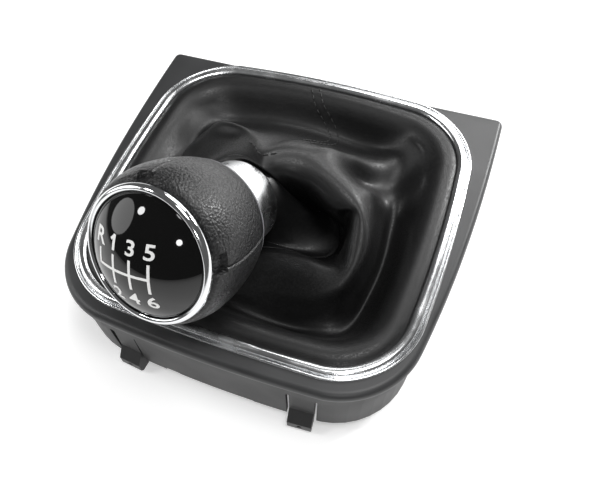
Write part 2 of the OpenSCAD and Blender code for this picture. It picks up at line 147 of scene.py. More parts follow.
# ---- Mesh helpers ----
def make(name, verts, faces, material=None, smooth_angle=35.0):
    """Mesh object from points in millimetres."""
    mesh = bpy.data.meshes.new(name)
    mesh.from_pydata([tuple(v) for v in np.asarray(verts, float) * MM], [], faces)
    bm = bmesh.new()
    bm.from_mesh(mesh)
    bmesh.ops.recalc_face_normals(bm, faces=bm.faces)
    bm.to_mesh(mesh)
    bm.free()
    mesh.polygons.foreach_set("use_smooth", [True] * len(mesh.polygons))
    mesh.set_sharp_from_angle(angle=math.radians(smooth_angle))
    piece = bpy.data.objects.new(name, mesh)
    bpy.context.scene.collection.objects.link(piece)
    if material:
        mesh.materials.append(material)
    return piece


def grid_faces(rows, cols, close_rows=False, close_cols=True):
    """Quads of a grid of points, row by row."""
    return [(r * cols + c, r * cols + (c + 1) % cols,
             (r + 1) % rows * cols + (c + 1) % cols, (r + 1) % rows * cols + c)
            for r in range(rows if close_rows else rows - 1)
            for c in range(cols if close_cols else cols - 1)]


def ring_of_loops(name, loops, material, smooth_angle=35.0):
    """Closed ring through a list of equal loops."""
    cols = len(loops[0])
    return make(name, np.concatenate(loops), grid_faces(len(loops), cols, True), material, smooth_angle)


def knob_matrix():
    """Places the knob's own frame, with +Z out of the face, in the row frame."""
    turn = (Matrix.Rotation(math.radians(KNOB_YAW), 3, "Z")
            @ Matrix.Rotation(math.radians(KNOB_LIE), 3, "X")
            @ Matrix.Rotation(math.radians(KNOB_SPIN), 3, "Z"))
    return np.array(turn)


KNOB_TURN = knob_matrix()


def on_knob(points):
    """Points of the knob's own frame, in the row frame."""
    return np.asarray(points, float) @ KNOB_TURN.T + KNOB_CENTRE


def turned(name, profile, material, steps=128, smooth_angle=30.0):
    """Closed solid of revolution about the knob's axis from [radius, distance behind the face] points."""
    angles = 2 * math.pi * np.arange(steps) / steps
    loops = [on_knob(np.column_stack([r * np.cos(angles), r * np.sin(angles), np.full(steps, -s)]))
             for r, s in profile]
    return ring_of_loops(name, loops, material, smooth_angle)


def curve_through(points, per_span=6):
    """Smooth open curve through 2-D or 3-D points."""
    p = np.array(points, float)
    p = np.concatenate([[2 * p[0] - p[1]], p, [2 * p[-1] - p[-2]]])
    t = np.linspace(0, 1, per_span, endpoint=False)[:, None]
    out = [0.5 * (2 * b + (c - a) * t + (2 * a - 5 * b + 4 * c - d) * t**2
                  + (3 * b - a - 3 * c + d) * t**3)
           for a, b, c, d in zip(p, p[1:], p[2:], p[3:])]
    return np.concatenate(out + [p[-2:-1]])


# ---- Materials ----
def new_material(name, colour, roughness, metallic=0.0, coat=0.0, specular=0.5):
    """Node material; returns it with its tree and shader."""
    material = bpy.data.materials.new(name)
    material.use_nodes = True
    tree = material.node_tree
    shader = tree.nodes["Principled BSDF"]
    shader.inputs["Base Color"].default_value = (*colour, 1)
    shader.inputs["Roughness"].default_value = roughness
    shader.inputs["Metallic"].default_value = metallic
    shader.inputs["Specular IOR Level"].default_value = specular
    shader.inputs["Coat Weight"].default_value = coat
    shader.inputs["Coat Roughness"].default_value = 0.04
    return material, tree, shader


def texture(tree, kind, scale, **settings):
    """Texture node fed with object coordinates, which are in metres."""
    coords = tree.nodes.new("ShaderNodeTexCoord")
    node = tree.nodes.new(kind)
    node.inputs["Scale"].default_value = scale
    for key, value in settings.items():
        node.inputs[key].default_value = value
    tree.links.new(coords.outputs["Object"], node.inputs["Vector"])
    return node


def ramp(tree, source, stops):
    """Colour ramp over a 0 to 1 value; stops are (place, grey) pairs."""
    node = tree.nodes.new("ShaderNodeValToRGB")
    while len(node.color_ramp.elements) < len(stops):
        node.color_ramp.elements.new(0.5)
    for element, (place, grey) in zip(node.color_ramp.elements, stops):
        element.position = place
        element.color = (grey, grey, grey, 1) if np.isscalar(grey) else (*grey, 1)
    tree.links.new(source, node.inputs["Fac"])
    return node.outputs["Color"]


def bump(tree, shader, height, strength, distance, after=None):
    """Bump node in millimetres of height, chained after an earlier one."""
    node = tree.nodes.new("ShaderNodeBump")
    node.inputs["Strength"].default_value = strength
    node.inputs["Distance"].default_value = distance * MM
    tree.links.new(height, node.inputs["Height"])
    if after:
        tree.links.new(after, node.inputs["Normal"])
    tree.links.new(node.outputs["Normal"], shader.inputs["Normal"])
    return node.outputs["Normal"]


def plastic(name, colour, roughness, grain=0.02, size=2600):
    """Moulded plastic with a fine spark-eroded grain and slight gloss changes."""
    material, tree, shader = new_material(name, colour, roughness)
    fine = texture(tree, "ShaderNodeTexNoise", size, Detail=3.0, Roughness=0.6)
    broad = texture(tree, "ShaderNodeTexNoise", 45, Detail=2.0, Roughness=0.5)
    low, high = roughness - 0.05, roughness + 0.06
    tree.links.new(ramp(tree, broad.outputs["Fac"], [(0.3, low), (0.7, high)]), shader.inputs["Roughness"])
    shade = [tuple(c * k for c in colour) for k in (0.88, 1.12)]
    tree.links.new(ramp(tree, broad.outputs["Fac"], [(0.3, shade[0]), (0.7, shade[1])]),
                   shader.inputs["Base Color"])
    bump(tree, shader, fine.outputs["Fac"], 0.5, grain)
    return material


def chrome(name, roughness=0.05):
    """Bright plating with faint ripples and a little haze."""
    material, tree, shader = new_material(name, (0.83, 0.84, 0.85), roughness, metallic=1.0)
    haze = texture(tree, "ShaderNodeTexNoise", 60, Detail=4.0, Roughness=0.6)
    tree.links.new(ramp(tree, haze.outputs["Fac"], [(0.35, roughness * 0.7), (0.75, roughness * 1.8)]),
                   shader.inputs["Roughness"])
    bump(tree, shader, haze.outputs["Fac"], 0.25, 0.012)
    return material


def steel(name):
    """Zinc plated steel with a drawn grain."""
    material, tree, shader = new_material(name, (0.48, 0.49, 0.5), 0.34, metallic=1.0)
    grain = texture(tree, "ShaderNodeTexNoise", 900, Detail=4.0, Roughness=0.7)
    tree.links.new(ramp(tree, grain.outputs["Fac"], [(0.3, 0.25), (0.7, 0.45)]), shader.inputs["Roughness"])
    bump(tree, shader, grain.outputs["Fac"], 0.3, 0.03)
    return material


def leather(name, colour, roughness, cell, depth, wrinkle):
    """Leather: pebbles of the given cell size in millimetres, fine pores and soft wrinkles."""
    material, tree, shader = new_material(name, colour, roughness, specular=0.45)
    pebbles = texture(tree, "ShaderNodeTexVoronoi", 1000 / cell, Randomness=1.0)
    pebbles.feature = "SMOOTH_F1"
    pebbles.inputs["Smoothness"].default_value = 0.35
    pores = texture(tree, "ShaderNodeTexNoise", 2400 / cell, Detail=3.0, Roughness=0.6)
    folds = texture(tree, "ShaderNodeTexNoise", 120, Detail=4.0, Roughness=0.55, Distortion=0.4)
    rise = ramp(tree, pebbles.outputs["Distance"], [(0.0, 1.0), (0.45, 0.75), (0.9, 0.0)])
    first = bump(tree, shader, rise, 0.8, depth)
    second = bump(tree, shader, pores.outputs["Fac"], 0.35, depth * 0.5, first)
    bump(tree, shader, folds.outputs["Fac"], 0.5, wrinkle, second)
    sheen = [(0.1, roughness - 0.05), (0.8, roughness + 0.2)]
    tree.links.new(ramp(tree, pebbles.outputs["Distance"], sheen), shader.inputs["Roughness"])
    shade = [tuple(c * k for c in colour) for k in (0.7, 1.25)]
    tree.links.new(ramp(tree, folds.outputs["Fac"], [(0.3, shade[0]), (0.75, shade[1])]),
                   shader.inputs["Base Color"])
    return material


def gloss(name, colour, roughness):
    """Polished lens plastic with faint orange peel."""
    material, tree, shader = new_material(name, colour, roughness)
    peel = texture(tree, "ShaderNodeTexNoise", 90, Detail=2.0, Roughness=0.4)
    bump(tree, shader, peel.outputs["Fac"], 0.1, 0.03)
    tree.links.new(ramp(tree, peel.outputs["Fac"], [(0.3, roughness), (0.8, roughness + 0.03)]),
                   shader.inputs["Roughness"])
    return material


def thread(name, colour):
    """Twisted sewing thread."""
    material, tree, shader = new_material(name, colour, 0.6)
    twist = texture(tree, "ShaderNodeTexNoise", 3000, Detail=2.0, Roughness=0.5)
    bump(tree, shader, twist.outputs["Fac"], 0.6, 0.05)
    tree.links.new(ramp(tree, twist.outputs["Fac"], [(0.3, 0.45), (0.7, 0.7)]), shader.inputs["Roughness"])
    return material


MAT = {
    "bezel": plastic("bezel_plastic", (0.035, 0.0355, 0.0365), 0.4, 0.012),
    "skirt": plastic("skirt_plastic", (0.009, 0.009, 0.0093), 0.5, 0.015),
    "clips": plastic("clip_plastic", (0.004, 0.004, 0.0042), 0.45, 0.015),
    "bush": plastic("bush_nylon", (0.6, 0.58, 0.52), 0.5, 0.01),
    "line": plastic("base_line", (0.16, 0.16, 0.17), 0.3, 0.005),
    "chrome": chrome("bright_chrome", 0.09),
    "satin": chrome("satin_collar", 0.22),
    "ring": chrome("ring_chrome", 0.2),
    "steel": steel("zinc_steel"),
    "grip": leather("grip_leather", (0.014, 0.014, 0.0145), 0.28, 0.8, 0.22, 0.08),
    "leather": leather("gaiter_leather", (0.006, 0.006, 0.0062), 0.36, 0.6, 0.012, 0.1),
    "lens": gloss("lens_gloss", (0.003, 0.003, 0.003), 0.03),
    "white": gloss("pattern_white", (0.95, 0.95, 0.94), 0.35),
    "thread": thread("black_thread", (0.02, 0.02, 0.02)),
}


# ---- Bezel and ring ----
def build_bezel():
    b = BEZEL
    arc = np.radians(np.linspace(90, 0, 9))
    loops = [at_z(opening_edge(0), 0), at_z(opening_edge(0), b["t"])]
    loops += [at_z(bezel_edge(b["edge_r"] * (1 - math.cos(a))), b["t"] - b["edge_r"] * (1 - math.sin(a)))
              for a in arc]
    loops += [at_z(bezel_edge(0), 0.25), at_z(bezel_edge(0.25), 0)]
    piece = ring_of_loops("bezel_shell", loops, MAT["bezel"], 50)
    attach(piece, "console")
    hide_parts("bezel")


def build_chrome_ring():
    bead_w, lip_w = 3.35, 1.15
    a = np.radians(np.linspace(180, 0, 15))
    bead = np.column_stack([bead_w / 2 * (1 + np.cos(a)), 0.25 + (RING_H - 0.25) * np.sin(a) ** 0.8])
    groove = np.array([[bead_w + 0.05, 0.12], [RING_W - lip_w - 0.05, 0.12]])
    lip = np.column_stack([RING_W - lip_w / 2 * (1 - np.cos(a)), 0.2 + 0.62 * np.sin(a) ** 0.8])
    section = np.concatenate([[[0, 0]], bead, groove, lip, [[RING_W, 0]]])
    loops = [at_z(opening_edge(p[0]), BEZEL["t"] + p[1]) for p in section]
    piece = ring_of_loops("chrome_ring_bead", loops, MAT["ring"], 60)
    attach(piece, "console")
    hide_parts("chrome_ring")


# ---- Knob ----
def grip_radius(s):
    s = np.asarray(s, float)
    front = GRIP_R - (GRIP_R - KNOB_R) * ((GRIP_WIDE_S - s) / GRIP_WIDE_S) ** 2
    back = GRIP_R - (GRIP_R - GRIP_END_R) * ((s - GRIP_WIDE_S) / (GRIP_END_S - GRIP_WIDE_S)) ** 2
    return np.where(s < GRIP_WIDE_S, front, back)


def smooth_step(x):
    x = np.clip(x, 0, 1)
    return x * x * (3 - 2 * x)


def build_grip():
    """Four padded quarters with rolled edges at the seams and a small recess where each meets the ring."""
    start_s, stop_s, thick = 2.4, GRIP_END_S - 1.35, 2.2
    half_gap = 0.1
    seam_deep, seam_wide = 0.55, 0.35
    front_deep, end_deep, end_wide = 0.5, 0.45, 0.5
    notch_angle, notch_wide, notch_long, notch_deep, notch_edge = 0.07, 3.4, 3.3, 2.0, 0.3
    rows, cols = 72, 110
    s = start_s + (stop_s - start_s) * np.linspace(0, 1, rows)
    u = 0.5 - 0.5 * np.cos(np.pi * np.linspace(0, 1, cols))
    u = 0.3 * np.linspace(0, 1, cols) + 0.7 * u
    for k in range(4):
        base = math.radians(90 * k)
        gap = half_gap / GRIP_R
        angle = base + gap + (math.pi / 2 - 2 * gap) * u
        s_grid, a_grid = np.meshgrid(s, angle, indexing="ij")
        from_seam = np.minimum(a_grid - base, base + math.pi / 2 - a_grid) * GRIP_R
        from_front = s_grid - start_s
        radius = grip_radius(s_grid)
        radius = radius - seam_deep * np.exp(-(from_seam / seam_wide) ** 2)
        radius = radius - front_deep * np.exp(-(from_front / end_wide) ** 2)
        radius = radius - end_deep * np.exp(-((stop_s - s_grid) / end_wide) ** 2)
        past_seam = (a_grid - base + math.pi / 4) % (math.pi / 2) - math.pi / 4
        from_notch = np.abs(past_seam - notch_angle) * GRIP_R
        in_notch = (smooth_step((notch_wide - from_notch) / notch_edge)
                    * smooth_step((notch_long - from_front) / notch_edge))
        radius = radius - notch_deep * in_notch
        outer = np.stack([radius * np.cos(a_grid), radius * np.sin(a_grid), -s_grid], -1)
        under = grip_radius(s_grid) - thick
        inner = np.stack([under * np.cos(a_grid), under * np.sin(a_grid), -s_grid], -1)
        verts = np.concatenate([outer.reshape(-1, 3), inner.reshape(-1, 3)])
        count = rows * cols
        faces = grid_faces(rows, cols, close_cols=False)
        faces += [tuple(i + count for i in reversed(f)) for f in faces]
        rim = ([(0, c) for c in range(cols)] + [(r, cols - 1) for r in range(1, rows)]
               + [(rows - 1, c) for c in range(cols - 2, -1, -1)]
               + [(r, 0) for r in range(rows - 2, 0, -1)])
        rim = [r * cols + c for r, c in rim]
        faces += [(a, b, b + count, a + count) for a, b in zip(rim, rim[1:] + rim[:1])]
        piece = make(f"grip_cover_{k + 1}", on_knob(verts), faces, MAT["grip"], 50)
        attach(piece, "knob")
        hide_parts(f"grip_panel_{k + 1}")


def build_bright_parts():
    """Collar, ring round the lens and the thin line at the end of the grip."""
    bow = [(COLLAR_R - 1.2, COLLAR_START_S)]
    bow += list(curve_through([(COLLAR_R - 0.6, COLLAR_START_S), (COLLAR_R - 0.1, COLLAR_START_S + 0.5),
                               (COLLAR_R, COLLAR_START_S + 2)]))
    bow += list(curve_through([(COLLAR_R, COLLAR_END_S - 1.5), (COLLAR_R - 0.12, COLLAR_END_S - 0.4),
                               (COLLAR_R - 0.6, COLLAR_END_S)]))
    bow += [(COLLAR_R - 1.2, COLLAR_END_S)]
    collar = turned("collar_sleeve_bright", bow, MAT["satin"])
    ring = curve_through([(TRIM_IN_R, 0.3), (TRIM_IN_R + 0.25, -0.45), (TRIM_IN_R + 1.05, -0.8),
                          (KNOB_R - 0.45, -0.35), (KNOB_R, 0.6), (KNOB_R - 0.1, 1.7),
                          (KNOB_R - 0.7, 2.3)])
    ring = list(ring) + [(TRIM_IN_R + 0.8, 2.3), (TRIM_IN_R, 1.9)]
    trim = turned("lens_ring", ring, MAT["chrome"], 160)
    line_r = GRIP_END_R
    line = curve_through([(line_r - 0.9, GRIP_END_S - 1.3), (line_r + 0.12, GRIP_END_S - 1.2),
                          (line_r + 0.2, GRIP_END_S - 0.6), (line_r - 0.35, GRIP_END_S)])
    line = list(line) + [(line_r - 1.55, GRIP_END_S), (line_r - 1.55, GRIP_END_S - 1.3)]
    base = turned("grip_end_line", line, MAT["line"])
    for piece, node, slot in ((collar, "collar", "chrome"), (trim, "trim_ring", "chrome"),
                              (base, "base_ring", "base_ring")):
        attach(piece, "knob")
        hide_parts(node)


def dome_z(x, y, lift=0.0):
    """Height of the lens above the face at a place on it."""
    r0 = TRIM_IN_R - 0.05
    ball = (r0**2 + DOME_H**2) / (2 * DOME_H)
    return DOME_H - ball + np.sqrt((ball + lift) ** 2 - x * x - y * y)


def build_lens():
    r0 = TRIM_IN_R - 0.05
    radii = r0 * np.sin(np.linspace(0.04, math.pi / 2, 28))
    profile = [(r, -float(dome_z(r, 0))) for r in radii] + [(r0, 0.85), (0.8, 0.85)]
    steps = 128
    angles = 2 * math.pi * np.arange(steps) / steps
    loops = [np.column_stack([r * np.cos(angles), r * np.sin(angles), np.full(steps, -s)])
             for r, s in profile]
    verts = np.concatenate([*loops, [[0, 0, DOME_H]], [[0, 0, -0.85]]])
    count = len(profile)
    faces = grid_faces(count, steps)
    top, bottom = count * steps, count * steps + 1
    faces += [(top, (c + 1) % steps, c) for c in range(steps)]
    last = (count - 1) * steps
    faces += [(bottom, last + c, last + (c + 1) % steps) for c in range(steps)]
    piece = make("lens_dome", on_knob(verts), faces, MAT["lens"], 40)
    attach(piece, "knob")
    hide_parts("cap_lens")


# ---- Shift pattern ----
PATTERN_PITCH = 6.0
PATTERN_H = 8.7
PATTERN_TURN = -3.6
PATTERN_SHIFT = (-2.3, -2.2)
MARK_OFF = 3.9
STROKE = 0.82
MARK_WIDEN = 1.2
MARK_H = 4.5


def flat_bar(bm, a, b, width=STROKE):
    """Flat bar with square ends in the plane of the face."""
    a, b = np.array(a, float), np.array(b, float)
    along = unit(b - a)
    side = np.array([-along[1], along[0]]) * width / 2
    a, b = a - along * width / 2, b + along * width / 2
    corners = [bm.verts.new((*p, 0)) for p in (a - side, b - side, b + side, a + side)]
    bm.faces.new(corners)


def add_mark(bm, text, centre):
    """A gear mark in Blender's plain sans serif letters, centred on a place."""
    curve = bpy.data.curves.new("mark", "FONT")
    curve.body = text
    curve.size = 1.0
    curve.offset = 0.014
    curve.resolution_u = 6
    source = bpy.data.objects.new("mark", curve)
    bpy.context.scene.collection.objects.link(source)
    bpy.context.view_layer.update()
    mesh = bpy.data.meshes.new_from_object(source.evaluated_get(bpy.context.evaluated_depsgraph_get()))
    co = np.array([v.co[:2] for v in mesh.vertices])
    low, high = co.min(0), co.max(0)
    scale = MARK_H / (high[1] - low[1])
    co = (co - (low + high) / 2) * [scale * MARK_WIDEN, scale] + np.array(centre)
    verts = [bm.verts.new((x, y, 0)) for x, y in co]
    for polygon in mesh.polygons:
        bm.faces.new([verts[i] for i in polygon.vertices])
    bpy.data.objects.remove(source)
    bpy.data.meshes.remove(mesh)


def add_flag(bm, top):
    """The small flag that makes a bare stroke read as a one."""
    flat_bar(bm, (top[0] - 1.0, top[1] - 1.25), (top[0] - 0.2, top[1] - 0.45), STROKE * 0.9)


def build_pattern():
    """R, 1 to 6 and the gate lines as a thin white inlay that follows the lens."""
    bm = bmesh.new()
    top = PATTERN_H / 2
    left = -1.5 * PATTERN_PITCH
    flat_bar(bm, (left, top), (left, 0))
    flat_bar(bm, (left, 0), (left + 3 * PATTERN_PITCH, 0))
    for i in (1, 2, 3):
        flat_bar(bm, (left + i * PATTERN_PITCH, top), (left + i * PATTERN_PITCH, -top))
    for i, text in enumerate("R135"):
        add_mark(bm, text, (left + i * PATTERN_PITCH, top + MARK_OFF))
    add_flag(bm, (left + PATTERN_PITCH, top + MARK_OFF + MARK_H / 2))
    for i, text in enumerate("246"):
        add_mark(bm, text, (left + (i + 1) * PATTERN_PITCH, -top - MARK_OFF))
    bmesh.ops.triangulate(bm, faces=bm.faces)
    bmesh.ops.translate(bm, verts=bm.verts, vec=(*PATTERN_SHIFT, 0))
    bmesh.ops.rotate(bm, verts=bm.verts, matrix=Matrix.Rotation(math.radians(PATTERN_TURN), 3, "Z"))
    for normal in (Vector((1, 0, 0)), Vector((0, 1, 0))):
        for place in np.arange(-15, 15.1, 0.75):
            bmesh.ops.bisect_plane(bm, geom=bm.verts[:] + bm.edges[:] + bm.faces[:],
                                   plane_co=normal * place, plane_no=normal)
    flat = bpy.data.meshes.new("pattern_flat")
    bm.to_mesh(flat)
    bm.free()
    co = np.array([v.co[:2] for v in flat.vertices])
    count = len(co)
    upper = np.column_stack([co, dome_z(co[:, 0], co[:, 1], 0.1)])
    lower = np.column_stack([co, dome_z(co[:, 0], co[:, 1], -0.05)])
    faces = [tuple(p.vertices) for p in flat.polygons]
    uses = {}
    for face in faces:
        for a, b in zip(face, face[1:] + face[:1]):
            uses.setdefault(frozenset((a, b)), []).append((a, b))
    walls = [(e[0][1], e[0][0], e[0][0] + count, e[0][1] + count) for e in uses.values() if len(e) == 1]
    faces += [tuple(i + count for i in reversed(f)) for f in faces] + walls
    piece = make("gear_marks", on_knob(np.concatenate([upper, lower])), faces, MAT["white"], 40)
    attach(piece, "knob")
    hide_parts("shift_pattern")
    bpy.data.meshes.remove(flat)


# ---- Leather gaiter ----
COLS = 192
CLOCK = 16
NECK_R = 13.3
NECK_ROWS_S = (51.0, 53.0, 55.0, 57.0)
LEATHER_T = 0.9
# Start of the tube inside the hood: distance behind the face, and how much wider it is than the neck
TUBE_S, TUBE_WIDER = 61.0, 1.5
# How far the loops' places are drawn round to the right, as a share of the loop
LOOP_TURN = 0.065
# Valley between the roll and the hood: its two nearest insets, height, tilts and wave
VALLEY_INSETS = (-15.0, -19.0)
VALLEY_Z, VALLEY_FAR_RISE, VALLEY_RIGHT_DROP, VALLEY_WAVE = -9.5, 3.0, 1.5, 0.8
# Section of the roll inside the ring, as (distance outwards from the opening, height)
ROLL = [(0.9, 2.4), (0.1, 3.0), (-1.2, 3.9), (-3.2, 4.7), (-5.4, 4.6), (-7.6, 3.7), (-9.6, 2.0)]
# Slack leather between the neck and the roll: loops of places in millimetres, clockwise from the
# far middle, through the dent in the tube, the edge over it, the hood and the flank of the hood
SLACK = {
    "hollow": [(-2, -2, 23), (2, -1, 18), (6, 3, 5), (14, 7, -5), (24, 6, -8), (28, 0, -9), (28, -9, -8),
               (22, -14, -6), (12, -15, -4), (2, -18, -3), (-11, -22, -4), (-23, -18, 0), (-29, -9, 7),
               (-25, 0, 14), (-17, 4, 19), (-9, 1, 23)],
    "edge": [(-3, 0, 24), (1, 1, 22), (7, 2, 19), (14, 1, 16), (25, -4, 12.5), (31, -3, 13), (33, -12, 9),
             (33, -21, 5), (21, -22, 4), (7, -22, 1), (-9, -25, -3), (-24, -21, -1), (-33, -9, 6),
             (-28, 5, 12), (-19, 9, 17), (-10, 6, 22)],
    "hood": [(-5, 5, 24), (1, 10, 23), (9, 12, 22), (21, 7, 20), (31, 1, 17), (36, -4, 14), (39, -13, 10),
             (37, -25, 5), (28, -32, 1), (11, -33, -3), (-8, -31, -5), (-30, -25, -3), (-38, -8, 4),
             (-33, 12, 10), (-21, 17, 14), (-12, 12, 20)],
    "flank": [(-3, 26, 10), (5, 29, 9), (16, 28, 7), (27, 22, 3), (37, 13, 1), (41, 4, 0), (43, -10, -2),
              (40, -26, -4), (28, -36, -6), (9, -37, -7), (-9, -36, -7), (-36, -28, -6), (-43, -5, 0),
              (-40, 20, 6), (-29, 27, 8), (-16, 27, 10)],
}
# Rows of the spline in each span, from the neck down to the roll
SPANS = (4, 10, 9, 7, 9, 10, 12)
# Folds between the hood and the roll: run of plan places from the roll inwards, half width, and
# lift at the roll and at the hood
FOLDS = [
    ([(45, 44), (30, 34), (15, 16)], 4.2, 6.0, 5.0),
    ([(50, 27), (42, 20), (35, 9)], 4.2, 5.5, 4.0),
    ([(38, 30), (27, 20)], 3.5, -1.0, -3.0),
    ([(-52, 31), (-38, 29), (-22, 21), (-13, 11)], 3.8, 4.0, 3.5),
    ([(-52, 4), (-42, 10)], 5.0, 3.0, 2.0),
    ([(-40, 48), (-18, 30)], 6.0, -1.0, -2.0),
    ([(35, -43), (37, -27)], 2.2, 3.0, 2.0),
    ([(20, 55), (10, 30)], 7.0, 0.0, -2.0),
]
# Column of the far seam at the roll and at the flank, half the distance between its two rows of
# stitches, and a stitch's length, pitch, radius and height over the leather
SEAM_COLUMNS = (-2.0, 12.0)
SEAM_SIDE = 1.7
STITCH, STITCH_GAP, STITCH_R, STITCH_LIFT = 2.2, 3.1, 0.28, 0.12


def leather_loop(d):
    """COLS places along the opening moved outwards by d, drawn round to the right with the hood."""
    points = opening_edge(d)
    closed = np.concatenate([points, points[:1]])
    run = np.concatenate([[0], np.cumsum(np.linalg.norm(np.diff(closed, axis=0), axis=1))])
    share = np.arange(COLS) / COLS
    at = run[-1] * (share - LOOP_TURN * np.sin(np.pi * share) ** 2)
    return np.column_stack([np.interp(at, run, closed[:, k]) for k in (0, 1)])


def spline_span(p0, p1, p2, p3, count):
    """Centripetal spline from p1 to p2 without its end; the points may be whole loops."""
    def knot(t, p, q):
        return t + np.maximum(np.linalg.norm(q - p, axis=-1, keepdims=True), 1e-6) ** 0.5
    t0 = np.zeros(p0.shape[:-1] + (1,))
    t1 = knot(t0, p0, p1)
    t2 = knot(t1, p1, p2)
    t3 = knot(t2, p2, p3)
    out = []
    for share in np.arange(count) / count:
        t = t1 + (t2 - t1) * share
        a1 = (t1 - t) / (t1 - t0) * p0 + (t - t0) / (t1 - t0) * p1
        a2 = (t2 - t) / (t2 - t1) * p1 + (t - t1) / (t2 - t1) * p2
        a3 = (t3 - t) / (t3 - t2) * p2 + (t - t2) / (t3 - t2) * p3
        b1 = (t2 - t) / (t2 - t0) * a1 + (t - t0) / (t2 - t0) * a2
        b2 = (t3 - t) / (t3 - t1) * a2 + (t - t1) / (t3 - t1) * a3
        out.append((t2 - t) / (t2 - t1) * b1 + (t - t1) / (t2 - t1) * b2)
    return out


def clock_loop(places):
    """Smooth loop of COLS points through the given places."""
    p = np.array(places, float)
    out = []
    for k in range(CLOCK):
        out += spline_span(*(p[(k + j) % CLOCK] for j in (-1, 0, 1, 2)), COLS // CLOCK)
    return np.array(out)


def neck_loop(s, r, directions):
    """Loop round the knob's axis, one point for each compass direction seen with the knob upright."""
    yaw = math.radians(KNOB_YAW)
    a = directions - yaw
    local = np.column_stack([r * np.cos(a), r * np.sin(a), np.full(len(a), -s)])
    turn = np.array(Matrix.Rotation(yaw, 3, "Z") @ Matrix.Rotation(math.radians(KNOB_LIE), 3, "X"))
    return local @ turn.T + KNOB_CENTRE


def grid_normals(grid):
    """Unit normals of a grid of points, outwards on the show side."""
    down = np.gradient(grid, axis=0)
    along = (np.roll(grid, -1, 1) - np.roll(grid, 1, 1)) / 2
    normal = np.cross(down, along)
    return normal / np.maximum(np.linalg.norm(normal, axis=-1, keepdims=True), 1e-9)


def near_run(points, run, width):
    """Closeness to a run of straight pieces seen in plan, and how far along it, both 0 to 1."""
    run = np.array(run, float)
    best = np.full(points.shape[:-1], 1e9)
    place = np.zeros(points.shape[:-1])
    for k, (a, b) in enumerate(zip(run, run[1:])):
        along = b - a
        t = np.clip(((points[..., :2] - a) @ along) / (along @ along), 0, 1)
        d = np.linalg.norm(points[..., :2] - a - t[..., None] * along, axis=-1)
        place = np.where(d < best, (k + t) / (len(run) - 1), place)
        best = np.minimum(best, d)
    return np.exp(-(best / (width * (1.8 - 0.8 * smooth_step(place / 0.6)))) ** 2), place


def relax(grid, first, last, passes, share=0.5):
    """Evens out the rows from first to last."""
    for _ in range(passes):
        mean = (grid[:-2] + grid[2:] + np.roll(grid, 1, 1)[1:-1] + np.roll(grid, -1, 1)[1:-1]) / 4
        grid[first:last] += share * (mean[first - 1:last - 1] - grid[first:last])
    return grid


def gaiter_grid():
    """Rows of points from the hem to the neck, with the knob lying back on the slack leather."""
    rows = [at_z(leather_loop(d), z) for d, z in ROLL]
    share = np.arange(COLS) / COLS
    directions = np.pi / 2 - 2 * np.pi * share
    wave = np.sin(3 * directions + 1.0) + 0.7 * np.sin(5 * directions)
    inset = [leather_loop(d) for d in VALLEY_INSETS]
    valley = at_z(inset[0] + (inset[1] - inset[0]) * (0.5 + 0.3 * wave)[:, None], 0)
    valley[:, 2] = (VALLEY_Z + VALLEY_FAR_RISE * np.sin(directions)
                    - VALLEY_RIGHT_DROP * np.clip(valley[:, 0] / 45, -1, 1) + VALLEY_WAVE * wave)
    neck = [neck_loop(s, NECK_R, directions) for s in NECK_ROWS_S]
    tube = neck_loop(TUBE_S, NECK_R + TUBE_WIDER, directions)
    slack = [clock_loop(places) for places in SLACK.values()]
    key = [*neck[-2:], tube, *slack, valley, rows[-1], rows[-2]]
    free = []
    for k, count in enumerate(SPANS):
        free += spline_span(*key[k:k + 4], count)
    grid = np.stack(rows + free[1:][::-1] + neck[::-1])
    first, last = len(rows) - 1, len(grid) - len(neck) + 1
    relax(grid, first, last, 3)
    hood = first + sum(SPANS[-3:])
    row = np.arange(len(grid))
    reach = smooth_step((row - first) / 6) * smooth_step((hood - row) / 6)
    for run, width, outer, inner in FOLDS:
        close, place = near_run(grid, run, width)
        grid[..., 2] += (outer + (inner - outer) * place) * close * reach[:, None]
    valley_row = first + SPANS[-1]
    relax(grid, valley_row - 8, valley_row + 8, 30)
    return relax(grid, first, last, 4)


def sample_grid(grid, row, column):
    """Place on the grid between rows and columns."""
    r, c = int(np.clip(row, 0, len(grid) - 2)), int(math.floor(column))
    u, v = row - r, column - c
    corner = [grid[r + i][(c + j) % COLS] for i in (0, 1) for j in (0, 1)]
    return ((corner[0] * (1 - v) + corner[1] * v) * (1 - u) + (corner[2] * (1 - v) + corner[3] * v) * u)


